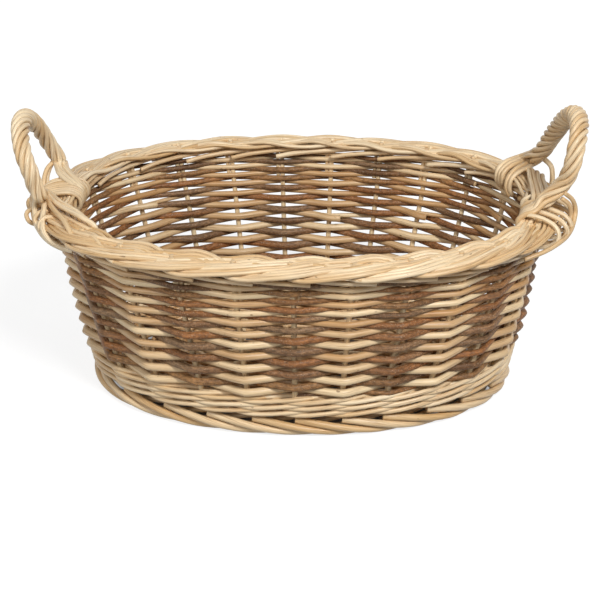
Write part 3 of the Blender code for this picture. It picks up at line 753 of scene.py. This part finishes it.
class WILLOW_OT_weave(bpy.types.Operator):
    """Side weave: a buff and a brown strand that chase each other round the stakes"""

    bl_idname = "willow.weave"
    bl_label = "Side weave"

    lap: a_number("Lap", "Bays that a rod runs past the stake where it ends", 0.26)

    kink = 0.992  # how sharply a rod turns at a stake
    bow = 0.2  # how much it follows the wall's curve between stakes
    butt, loss = 1.09, 0.16  # its thickness at its start, and what it loses on its way
    tip_loss, tip_bays = 0.35, 2  # what it loses besides in its last bays
    start_bays = 0.6  # in which it comes out from behind the last rod's end
    full_rows, gain = (14, 22), 0.28  # rows over which rods come to fill more of their row
    flat_rows, flat_loss = (9, 17), 0.3  # rows over which they come to bend less
    scatter = 7  # bays that an end may lie off its even place

    # How far each thing wanders along a rod, and in how many bays
    thickness_wander = (0.3 * MM, 6.0)
    height_wander = (0.6 * MM, 5.0)
    reach_wander = (0.25 * MM, 5.0)
    tone_wander = (0.3, 9.0)

    def execute(self, context):
        share = context.scene.willow_sizes.weave_share
        self.make_strand("brown_rod", BROWN_NODES, 0, 0, share, "bark_rods")
        self.make_strand("buff_rod", BUFF_NODES, STAKES // 2, 1, share, "buff_rods")
        return {"FINISHED"}

    def rod_ends(self, steps, inside_parity, rods):
        """Steps at which one rod hands over to the next, each inside a stake, and scattered."""
        random = np.random.default_rng(rods + inside_parity)
        scatter = random.uniform(-self.scatter, self.scatter, rods - 1)
        places = steps * np.arange(1, rods) / rods + scatter
        ends = 2 * np.round((places - inside_parity) / 2) + inside_parity
        return np.concatenate([[0], ends, [steps]])

    def make_strand(self, label, nodes, first_stake, parity, share, kind):
        """A strand's rods, each a lap past its own stretch but for the strand's two tips."""
        steps = math.floor((WEAVE_ROWS + 1 - 2 * TIP_SHARE) * STAKES / 2)
        ends = self.rod_ends(steps, 1 - parity, len(nodes))
        for index, node in enumerate(nodes):
            bundle = Bundle(200 + 50 * parity + index)
            start = ends[index] - (self.lap if index > 0 else 0)
            stop = ends[index + 1] + (self.lap if index + 1 < len(nodes) else 0)
            self.add_rod(bundle, start, stop, first_stake, parity, share)
            bundle.make(f"{label}_{index + 1:02d}", kind, [node])

    def add_rod(self, bundle, start, stop, first_stake, parity, share):
        """One rod: outside one stake and inside the next, climbing two rows a turn.

        The reach is a rounded swing, 1 outside a stake and -1 inside the next. The rod's start
        lies over the last one's end.
        """
        random = bundle.random
        step = samples(start, stop)
        row = 2 * step / STAKES + TIP_SHARE - 0.5
        low, high = row_height(row - 0.5), row_height(row + 0.5)
        taper = self.butt - self.loss * (step - start) / (stop - start)
        taper = taper * (1 + self.gain * ease(row, *self.full_rows))
        thickness = (high - low) * share * taper + drift(random, step, *self.thickness_wander)
        tip = ease(step, stop - self.tip_bays, stop)
        thickness = thickness * (1 - self.tip_loss * tip)
        height = (low + high) / 2 + drift(random, step, *self.height_wander)
        reach = (STAKE_DIAMETER + thickness) / 2 * rounded_swing(step - parity, self.kink)
        reach = reach * (1 - self.flat_loss * ease(row, *self.flat_rows))
        reach = reach - thickness * (1 - ease(step, start, start + self.start_bays))
        reach = reach + drift(random, step, *self.reach_wander)
        tone = np.clip(random.uniform(0, 1) + drift(random, step, *self.tone_wander), 0, 1)
        bundle.weave(first_stake + step, height, reach, thickness / 2, self.bow, tone)


class WILLOW_OT_waling(bpy.types.Operator):
    """Waling: rounds of three rods, each outside two stakes and inside the third"""

    bl_idname = "willow.waling"
    bl_label = "Waling"

    rounds: a_count("Rounds", "Rounds of waling", 3)
    lengths: a_count("Lengths", "Rods that follow each other in one round", 4)

    lap = 0.3  # bays that a length runs past each end of its stretch
    set_on = 1.5  # bays from the starts of one round to those of the next
    start_bays, start_share = 0.5, 0.8  # where a length comes out from behind the last one's end
    butt, loss = 1.06, 0.16  # a length's thickness at its start, and what it loses on its way
    bow = 0.6  # how much a rod follows the wall's curve between stakes
    height_wander = (0.3 * MM, 4.0)

    def execute(self, context):
        thickness = context.scene.willow_sizes.wale_rod
        boxes = [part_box(name) for name in WALE_NODES]
        low = min(box[0].z for box in boxes)
        band = (max(box[1].z for box in boxes) - low) / self.rounds
        for rod, node in enumerate(WALE_NODES):
            bundle = Bundle(300 + rod)
            for level in range(self.rounds):
                self.add_round(bundle, rod + level, low + band * (level + 0.5), band, thickness)
            bundle.make(f"waling_{rod + 1}", "pale_rods", [node])
        return {"FINISHED"}

    def add_round(self, bundle, shift, middle, band, thickness):
        """One rod's round, in lengths that start over the end of the last."""
        bays = STAKES / self.lengths
        for index in range(self.lengths):
            start = shift + index * bays + self.set_on * middle / band - self.lap
            stop = start + bays + 2 * self.lap
            self.add_length(bundle, shift, start, stop, middle, band / 4, thickness)

    def add_length(self, bundle, shift, start, stop, middle, rise, thickness):
        """One length: at the stakes inside and level, then outside and low, then outside and high.

        Between the stakes, the reach and the height are smooth curves through those three.
        """
        place = samples(start, stop)
        whole = np.arange(math.floor(start) - 1, math.ceil(stop) + 2)
        phase = (whole - shift) % 3
        knots = np.stack([
            whole.astype(float),
            np.array([-1.0, 1.0, 1.0])[phase] * (STAKE_DIAMETER + thickness) / 2,
            middle + np.array([0.0, -1.0, 1.0])[phase] * rise,
        ], axis=1)
        curve = smooth_line(knots, spacing=0.05)  # bays
        reach = np.interp(place, curve[:, 0], curve[:, 1])
        height = np.interp(place, curve[:, 0], curve[:, 2])
        height = height + drift(bundle.random, place, *self.height_wander)
        hidden = 1 - ease(place, start, start + self.start_bays)
        reach = reach - thickness * self.start_share * hidden
        radius = thickness / 2 * (self.butt - self.loss * (place - start) / (stop - start))
        bundle.weave(place, height, reach, radius, self.bow)


class WILLOW_OT_border(bpy.types.Operator):
    """Border: a flat plait with a new group of rods at each stake"""

    bl_idname = "willow.border"
    bl_label = "Plaited border"

    rods: a_count("Rods", "Rods side by side in a strand", 4)
    peg: a_length("Stake tip", "Thickness of the stakes' tips that show in the border", 3.8)

    start, overrun = 0.95, 1.1  # bays where a rod starts in its period, and runs past its end
    butt, tip = 1.06, 0.92  # thickness at a rod's ends, of its mean
    way_wander = (0.5 * MM, 2.5)
    tone_wander = (0.15, 2.0)
    lift = 0.5 * MM  # how far a rod or a stake's tip may lie off its level
    peg_across = -5.0 * MM
    peg_up = (-8, 2.2)  # lower and upper end, in millimetres

    def execute(self, context):
        sizes = context.scene.willow_sizes
        for group, node in enumerate(PLAIT_NODES):
            bundle = Bundle(400 + group)
            for stake in range(group, STAKES, len(PLAIT_NODES)):
                for rod in range(self.rods):
                    self.add_rod(bundle, stake, rod, sizes)
            bundle.make(f"plait_rods_{group + 1}", "pale_rods", [node])
        self.make_pegs()
        self.make_ends()
        return {"FINISHED"}

    def add_rod(self, bundle, stake, rod, sizes):
        """One rod of the group that starts at a stake, for one period of the plait.

        The strand's middle is the sine of a cosine across the border, which runs on along the
        edges, and a sine of the double angle up: a flat plait. The angle runs ahead on the way
        out, so that way is shorter, and near the inner edge, so strands cross there. The rod
        keeps its distance from that middle, square to its line, and it starts and stops where
        the strand lies under the others.
        """
        random = bundle.random
        phase = np.linspace(self.start, PLAIT_PERIOD + self.overrun, 52)
        around = 2 * math.pi * phase / PLAIT_PERIOD
        angle = around + PLAIT_LEAN * (1 - np.cos(around))
        turning = 2 * math.pi / PLAIT_PERIOD * (1 + PLAIT_LEAN * np.sin(around))
        place = stake + PLAIT_SHIFT + phase - OUT_TURN
        beside = (rod - (self.rods - 1) / 2) * sizes.plait_rod
        ribbon = (self.rods - 1) / 2 * sizes.plait_rod
        reach = sizes.plait_half_width - sizes.plait_rod / 2 - ribbon
        across = -reach * np.sin(math.pi / 2 * np.cos(angle))
        up = sizes.plait_lift * np.sin(2 * (angle + CROSS_LEAN * np.sin(angle)))
        bay = np.linalg.norm(wall(place + 0.5, RIM_LEVEL) - wall(place - 0.5, RIM_LEVEL), axis=1)
        slope = np.cos(math.pi / 2 * np.cos(angle)) * math.pi / 2 * np.sin(angle)
        slope = reach * slope * turning / bay
        aside = beside / np.sqrt(1 + slope**2)
        place = place - slope * aside / bay
        across = across + aside + drift(random, place, *self.way_wander)
        up = up + drift(random, place, *self.way_wander) + random.uniform(-self.lift, self.lift)
        thickness = sizes.plait_rod * random.uniform(0.85, 1.08)
        radius = thickness / 2 * np.linspace(self.butt, self.tip, len(place))
        path = border_point(place, across, up)
        tone = random.uniform(0, 1.2) + drift(random, place, *self.tone_wander)
        bundle.add(path, radius, UP, np.clip(tone, 0, 1))

    def make_pegs(self):
        """The stakes' tips, which stand up between the inner rods."""
        bundle = Bundle(440)
        for stake in range(STAKES):
            up = np.linspace(*self.peg_up, 5) * MM + bundle.random.uniform(-self.lift, self.lift)
            place = np.full(5, stake + bundle.random.uniform(-0.06, 0.06))
            path = border_point(place, np.full(5, self.peg_across), up)
            bundle.add(path, self.peg / 2, outward(np.full(5, float(stake)), RIM_LEVEL))
        bundle.make("border_stake_tips", "buff_rods", [])

    def make_ends(self):
        """Rods under the border, tucked through and cut off inside, and laid down outside."""
        bundle = Bundle(450)
        random = bundle.random
        for stake in range(STAKES):
            shift = random.uniform(-0.15, 0.15)
            inside = border_knots(stake + shift, INSIDE_END)
            bundle.lay(inside, random.uniform(3.4, 4.4) / 2 * MM, 2.5 * MM)
            outside = border_knots(stake + 0.5 - shift, OUTSIDE_END)
            bundle.lay(outside, random.uniform(3.2, 4.0) / 2 * MM, 2.5 * MM)
        bundle.make("border_tucked_ends", "pale_rods", [])


class WILLOW_OT_foot(bpy.types.Operator):
    """Foot: one rod to each bay, rolled round the line under the stakes"""

    bl_idname = "willow.foot"
    bl_label = "Foot"

    inset: a_length("Inset", "Middle of the foot inside the stakes' lower ends", 2.5)
    bays: a_number("Bays", "Bays that a rod runs", 4.0)
    butt: an_angle("Butt", "How high outside the foot a rod starts", 62)
    roll: an_angle("Roll", "How far a rod rolls over in a bay", 67)

    tip = 0.72  # thickness left at a rod's tip

    def execute(self, context):
        sizes = context.scene.willow_sizes
        low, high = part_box("foot_border")
        bundle = Bundle(500)
        for stake in range(STAKES):
            self.add_rod(bundle, stake, (high.z - low.z) / 2, high.z, sizes.foot_rod)
        bundle.make("foot_rods", "pale_rods", ["foot_border"])
        return {"FINISHED"}

    def add_rod(self, bundle, stake, radius, top, thickness):
        """A helix round the foot's line, from its butt high outside, down and under to inside."""
        start = stake + bundle.random.uniform(-0.08, 0.08)
        place = np.linspace(start, start + self.bays, 60)
        angle = self.butt - self.roll * (place - start)
        taper = np.linspace(1.0, self.tip, len(place))
        reach = radius - thickness / 2 * taper
        level = top - radius + reach * np.sin(angle)
        side = outward(place, top)
        path = wall(place, top) + side * (reach * np.cos(angle) - self.inset)[:, None]
        path[:, 2] = np.maximum(level, thickness / 2 * taper)
        tone = bundle.random.uniform(0.4, 1.2)
        bundle.add(path, thickness / 2 * taper, turned(angle, side, np.array(UP)), tone)


class WILLOW_OT_base(bpy.types.Operator):
    """Base: crossed sticks fanned out to the edge, woven round with two strands of thin rods"""

    bl_idname = "willow.base"
    bl_label = "Base"

    turns: a_count("Turns", "Turns of each of the two strands", 9)
    long_sticks: a_count("Long sticks", "Lengthwise", 3)
    short_sticks: a_count("Short sticks", "Crosswise", 6)
    long_gap: a_length("Long gap", "From one long stick to the next", 7.5)
    short_gap: a_length("Short gap", "From one short stick to the next", 34)
    stick: a_length("Stick", "Thickness of the sticks", 5.6)
    set_back: a_length("Set back", "From the stakes' line to the sticks' ends", 6.5)

    core_past = (8 * MM, 0.5 * MM)  # how far the crossed middle reaches past the sticks
    core_power = 0.45  # how nearly the crossed middle is a rectangle
    straight_past = 5 * MM  # how far a short stick runs straight past the long ones
    fill = 0.47  # radius of a weaving rod, of its row
    thinnest, thickest = 1.4 * MM, 2.1 * MM
    kink, press = 0.98, 0.92  # how sharply the rods turn, and how near they reach
    rings = 6  # of a rod, from one spoke to the next
    deep_tone, tone_wander = 0.8, (0.3, 22.0)

    def execute(self, context):
        low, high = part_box("base_sticks")
        self.level = (low.z + high.z) / 2
        self.spokes = 2 * (self.long_sticks + self.short_sticks)
        self.half_length = (self.short_sticks - 1) / 2 * self.short_gap
        self.half_width = (self.long_sticks - 1) / 2 * self.long_gap
        self.make_sticks()
        for strand in range(2):
            self.make_strand(strand)
        return {"FINISHED"}

    def edge(self, spoke):
        """Where a spoke ends, counted from the right end towards the back."""
        place = STAKES / 4 + np.asarray(spoke, float) * STAKES / self.spokes
        level = np.full(place.shape, self.level)
        return wall(place, level) - outward(place, level) * self.set_back

    def core(self, spoke):
        """Where a spoke leaves the crossed middle: on an oval round the sticks' crossings."""
        angle = 2 * math.pi * np.asarray(spoke, float) / self.spokes
        wave = np.stack([np.cos(angle), np.sin(angle)])
        half = np.add((self.half_length, self.half_width), self.core_past)
        x, y = half[:, None] * np.sign(wave) * np.abs(wave) ** self.core_power
        return np.stack([x, y, np.full_like(x, self.level)], axis=1)

    def make_sticks(self):
        """Long sticks side by side through the short ones; all fan out to the spokes' ends."""
        bundle = Bundle(510)
        half = (self.long_sticks - 1) // 2
        run = self.half_length + self.core_past[0]
        for index in range(-half, half + 1):
            ends = self.edge([index, self.spokes // 2 - index])
            core = [(x, index * self.long_gap) for x in (run, run / 3, -run / 3, -run)]
            self.add_stick(bundle, ends, core)
        run = self.half_width + self.straight_past
        for index in range(self.short_sticks):
            spoke = half + 1 + index
            ends = self.edge([spoke, self.spokes - spoke])
            x = ((self.short_sticks - 1) / 2 - index) * self.short_gap
            self.add_stick(bundle, ends, [(x, run), (x, 0.0), (x, -run)])
        bundle.make("base_spokes", "buff_rods", ["base_sticks"])

    def add_stick(self, bundle, ends, core):
        """From edge to edge, straight through the points of the core."""
        inner = [(x, y, self.level) for x, y in core]
        line = smooth_line([ends[0], *inner, ends[1]], 5 * MM)
        bundle.add(line, self.stick / 2, UP)

    def make_strand(self, strand):
        """A spiral from the core to the edge, over one spoke and under the next.

        The height is a rounded swing, and the rows share the way from core to edge evenly.
        """
        bundle = Bundle(520 + strand)
        rows = 2 * self.turns
        step = np.arange(self.turns * self.spokes * self.rings + 1) / self.rings
        row = 2 * step / self.spokes + 0.5
        spoke = step + strand * self.spokes / 2
        start, stop = self.core(spoke), self.edge(spoke)
        point = start + (stop - start) * np.clip(row / rows, 0, 1)[:, None]
        spacing = np.linalg.norm(stop - start, axis=1) / rows
        radius = np.clip(spacing * self.fill, self.thinnest, self.thickest)
        swing = rounded_swing(spoke + strand, self.kink)
        point[:, 2] = self.level + (self.stick / 2 + radius) * self.press * swing
        tone = self.deep_tone + drift(bundle.random, step, *self.tone_wander)
        bundle.add(point, radius, UP, np.clip(tone, 0, 1), sides=8)
        bundle.make(f"base_weave_{strand + 1}", "buff_rods", [f"base_weaver_{strand + 1}"])


class WILLOW_OT_handles(bpy.types.Operator):
    """Handles: rods twisted round a bow, fanned over the border at the feet"""

    bl_idname = "willow.handles"
    bl_label = "Handles"

    rods: a_count("Rods", "Rods twisted round", 6)
    foot_level: a_length("Rope ends", "Height over the border where the rods fan out", 15)

    crowding = 1.07  # round of the rope, of the rods side by side
    wrap_slant = 0.12  # bays that a wrap leans, of its route
    wrap_edge = 18  # how far across a wrap stands off in full, in millimetres
    laid_radius = (1.7, 1.9)  # thinnest and thickest, in millimetres

    def execute(self, context):
        for label, middle, back in (("left", STAKES * 0.75, -1), ("right", STAKES * 0.25, 1)):
            bundle = Bundle(600 + back)
            self.add_rope(bundle, label, middle, back, context.scene.willow_sizes.handle_rod)
            self.add_wraps(bundle, middle, back, WRAPS[label])
            for route in LAID[label]:
                knots = border_knots(middle, route, back)
                bundle.lay(knots, bundle.random.uniform(*self.laid_radius) * MM)
            bundle.make(f"handle_{label}_rods", "pale_rods", [f"handle_{label}"])
        return {"FINISHED"}

    def add_rope(self, bundle, label, middle, back, thick):
        """Rods twisted round a bow: helices on a ring that turn as far as their slope asks.

        A ring of n rods of thickness d that slope by a from the bow's line has the radius
        crowding n d / (2 pi cos a), and turns by tan a / radius for each length of the bow. The
        rods pass through every second point of their helices.
        """
        path = smooth_line(np.array(BOWS[label]) * MM, 2.5 * MM)
        path = path[path[:, 2] > RIM_LEVEL + self.foot_level]
        share = np.linspace(0, 1, len(path))
        twist = TWISTS[label]
        slope = np.radians(np.interp(share, np.linspace(0, 1, len(twist)), twist))
        ring = self.rods * thick * self.crowding / (2 * math.pi * np.cos(slope))
        tangent = unit(np.gradient(path, axis=0))
        upright = unit(np.cross(tangent, (1.0, 0.0, 0.0)))
        across = np.cross(tangent, upright)
        step = np.linalg.norm(np.gradient(path, axis=0), axis=1)
        angle = np.cumsum(np.tan(slope) / ring * step)
        bundle.add(path, ring - thick / 2, upright)
        angle = angle[:, None] + 2 * math.pi * np.arange(self.rods) / self.rods
        turn = turned(angle, upright[:, None], across[:, None])
        helix = np.concatenate([path[:, None] + turn * ring[:, None, None], turn * MM], axis=2)
        starts = self.foot_routes(middle, -back, turn[0], label, "front")
        stops = self.foot_routes(middle, back, turn[-1], label, "back")
        for rod in range(self.rods):
            knots = np.vstack([starts[rod][::-1], helix[::2, rod], stops[rod]])
            bundle.lay(knots, thick * bundle.random.uniform(0.94, 1.06) / 2)

    def foot_routes(self, middle, away, turn, label, foot):
        """The way of each rod over the border at one foot, by where it stands in the ring.

        The rods that stand furthest in go inside, and the rest down outside. In each group they
        keep their order away from the handle's middle.
        """
        inner, outer = FEET[label, foot, "inside"], FEET[label, foot, "outside"]
        place = middle + away * inner[0][0][0]
        beside = wall(np.array([place, place + 0.1 * away]), RIM_LEVEL)
        order = np.argsort(turn @ outward(np.array([place]), RIM_LEVEL)[0])
        chosen = {}
        for group, routes in ((order[:len(inner)], inner), (order[len(inner):], outer)):
            ranked = group[np.argsort(turn[group] @ (beside[0] - beside[1]))]
            for rod, route in zip(ranked, routes):
                chosen[rod] = border_knots(middle, route, away)
        return chosen

    def add_wraps(self, bundle, middle, back, wraps):
        """Rods wound over the border, which stand off it most at its outer edge."""
        for bays, proud, thickness in wraps:
            route = [
                (step * self.wrap_slant, across + proud * max(0.0, across / self.wrap_edge), up)
                for step, across, up in WRAP_ROUTE
            ]
            bundle.lay(border_knots(middle + back * bays, route, back), thickness / 2 * MM)


class WILLOW_OT_stage(bpy.types.Operator):
    """Pale floor, soft light and the camera"""

    bl_idname = "willow.stage"
    bl_label = "Stage"

    paper = 0.28  # how pale the floor is under the light
    floor_reach = 40.0
    oval = (0.172, 0.11)  # half length and half width of the foot's print on the floor
    lamp_aim = (0.0, 0.0, 0.08)
    camera_aim = (0.0, 0.0, 0.07)
    sensor = 36.0  # camera sensor in millimetres, as wide as the picture
    picture = 600  # width of the picture that the next three are measured in
    focal_length = 1545.9
    shift = (-1.07, -3.68)
    roll = -0.0027

    def execute(self, context):
        settings = context.scene.willow_stage
        context.scene.view_settings.view_transform = "Standard"
        self.make_floor()
        self.make_sky(settings.sky)
        self.make_lamp("key_lamp", (0.75, -1.4, 1.7), 0.6, settings.key_power)
        fill = settings.key_power * settings.fill_share
        self.make_lamp("fill_lamp", (-1.1, -1.3, 1.1), 0.9, fill)
        self.make_camera(settings)
        return {"FINISHED"}

    def make_floor(self):
        """A pale floor that shows white and keeps the shadow.

        Its glow, which only seen rays get, is 0 under the basket's oval, part beside it and full
        far off, by the distance from the middle. So the floor is left darker under the basket, and
        a little darker beside it, than the even glow makes it elsewhere: painted shade laid over
        the real shadow.
        """
        mesh = bpy.data.meshes.new("floor")
        reach = self.floor_reach
        corners = [(-reach, -reach, 0), (reach, -reach, 0), (reach, reach, 0), (-reach, reach, 0)]
        mesh.from_pydata(corners, [], [(0, 1, 2, 3)])
        floor = placed("floor", mesh)
        desk = NodeDesk(bpy.data.materials.new("floor_paper"))
        desk.shader.inputs["Base Color"].default_value = grey(self.paper)
        desk.shader.inputs["Roughness"].default_value = 0.9
        glow = desk.node("ShaderNodeEmission", {"Color": grey(1.0)})
        place = desk.node("ShaderNodeTexCoord").outputs["Object"]
        # Painted shade: the glow is lowered near the basket, so the floor is darker there
        far = desk.fade(desk.distance(place), 0.3, 1.5, 0.82)
        print_scale = {"Vector": place, "Scale": (1 / self.oval[0], 1 / self.oval[1], 1)}
        oval = desk.node("ShaderNodeMapping", print_scale).outputs["Vector"]
        # Painted shade: no glow under the basket's oval, so the floor is dark under it
        beside = desk.fade(desk.distance(oval), 0.9, 1.0, 0.0)
        level = desk.math("MULTIPLY", desk.math("MULTIPLY", far, beside), desk.seen())
        desk.feed(glow.inputs["Strength"], level)
        both = desk.node("ShaderNodeAddShader")
        desk.feed(both.inputs[0], desk.shader.outputs["BSDF"])
        desk.feed(both.inputs[1], glow.outputs["Emission"])
        desk.feed(desk.tree.nodes["Material Output"].inputs["Surface"], both.outputs["Shader"])
        mesh.materials.append(desk.owner)

    def make_sky(self, strength):
        """Even white light, which seen rays get in full and other rays at its strength."""
        sky = bpy.data.worlds.new("soft_sky")
        bpy.context.scene.world = sky
        desk = NodeDesk(sky, "Background")
        desk.shader.inputs["Color"].default_value = grey(1.0)
        level = desk.fade(desk.seen(), 0.0, 1.0, strength)
        desk.feed(desk.shader.inputs["Strength"], level)

    def make_lamp(self, name, place, size, power):
        """A round lamp that points at the basket."""
        light = bpy.data.lights.new(name, "AREA")
        light.shape = "DISK"
        light.size = size
        light.energy = power
        lamp = placed(name, light)
        lamp.location = place
        aim = Vector(self.lamp_aim) - Vector(place)
        lamp.rotation_euler = aim.to_track_quat("-Z", "Y").to_euler()

    def make_camera(self, settings):
        """The camera looks at a point over the basket's middle, with the photo's angle of view."""
        camera = bpy.data.cameras.new("camera")
        camera.sensor_width = self.sensor
        camera.lens = self.sensor * self.focal_length / self.picture
        camera.shift_x, camera.shift_y = (pixels / self.picture for pixels in self.shift)
        camera.clip_start = 0.05
        camera.clip_end = 100.0
        azimuth, elevation = settings.azimuth, settings.elevation
        back = Vector((
            math.sin(azimuth) * math.cos(elevation),
            -math.cos(azimuth) * math.cos(elevation),
            math.sin(elevation),
        ))
        viewer = placed("camera", camera)
        turn = (-back).to_track_quat("-Z", "Y").to_matrix() @ Matrix.Rotation(self.roll, 3, "Z")
        eye = Vector(self.camera_aim) + back * settings.distance
        viewer.matrix_world = Matrix.Translation(eye) @ turn.to_4x4()
        bpy.context.scene.camera = viewer


PIECES = (
    WILLOW_OT_stakes,
    WILLOW_OT_weave,
    WILLOW_OT_waling,
    WILLOW_OT_border,
    WILLOW_OT_foot,
    WILLOW_OT_base,
    WILLOW_OT_handles,
    WILLOW_OT_stage,
)
GROUPS = {
    "willow_sizes": WillowSizes,
    "willow_colours": WillowColours,
    "willow_stage": WillowStage,
}


class WILLOW_PT_panel(bpy.types.Panel):
    """Lists the sizes, the colours and the pieces"""

    bl_idname = "WILLOW_PT_panel"
    bl_label = "Willow basket"
    bl_space_type = "VIEW_3D"
    bl_region_type = "UI"
    bl_category = "Willow"

    def draw(self, context):
        for name, group in GROUPS.items():
            box = self.layout.box()
            for key in group.__annotations__:
                box.prop(getattr(context.scene, name), key)
        for piece in PIECES:
            self.layout.operator(piece.bl_idname)


def register():
    for group in GROUPS.values():
        bpy.utils.register_class(group)
    for name, group in GROUPS.items():
        setattr(bpy.types.Scene, name, bpy.props.PointerProperty(type=group))
    for piece in PIECES:
        bpy.utils.register_class(piece)
    bpy.utils.register_class(WILLOW_PT_panel)


def unregister():
    bpy.utils.unregister_class(WILLOW_PT_panel)
    for piece in reversed(PIECES):
        bpy.utils.unregister_class(piece)
    for name, group in GROUPS.items():
        delattr(bpy.types.Scene, name)
        bpy.utils.unregister_class(group)


def main():
    register()
    for piece in PIECES:
        group, name = piece.bl_idname.split(".")
        getattr(getattr(bpy.ops, group), name)()


if __name__ == "__main__":
    main()
